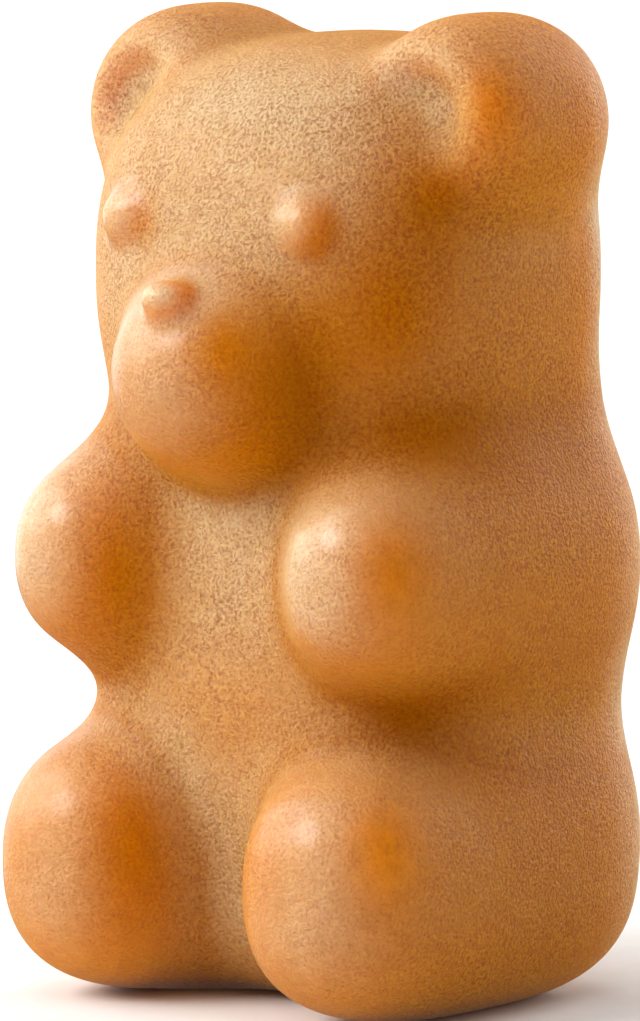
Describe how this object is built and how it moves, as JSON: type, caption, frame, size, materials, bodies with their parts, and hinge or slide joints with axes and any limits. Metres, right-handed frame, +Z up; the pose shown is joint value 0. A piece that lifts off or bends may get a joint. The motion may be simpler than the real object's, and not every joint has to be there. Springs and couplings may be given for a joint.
{
  "type": "gummy bear",
  "caption": "Moulded gummy bear standing upright, with round ears, button eyes, a ball snout, and stubby arms and feet in front of a smooth belly.",
  "frame": {"origin": "on the surface that the bear stands on, under the middle of its width and depth", "axes": "+Z up, the bear faces -Y, and its own left side is at +X"},
  "size_m": [0.0122, 0.0114, 0.0217],
  "materials": {
    "gum": "satin, slightly translucent caramel gum with a fine grained skin"
  },
  "bodies": {
    "root": {"bear": "gum"}
  },
  "joints": []
}
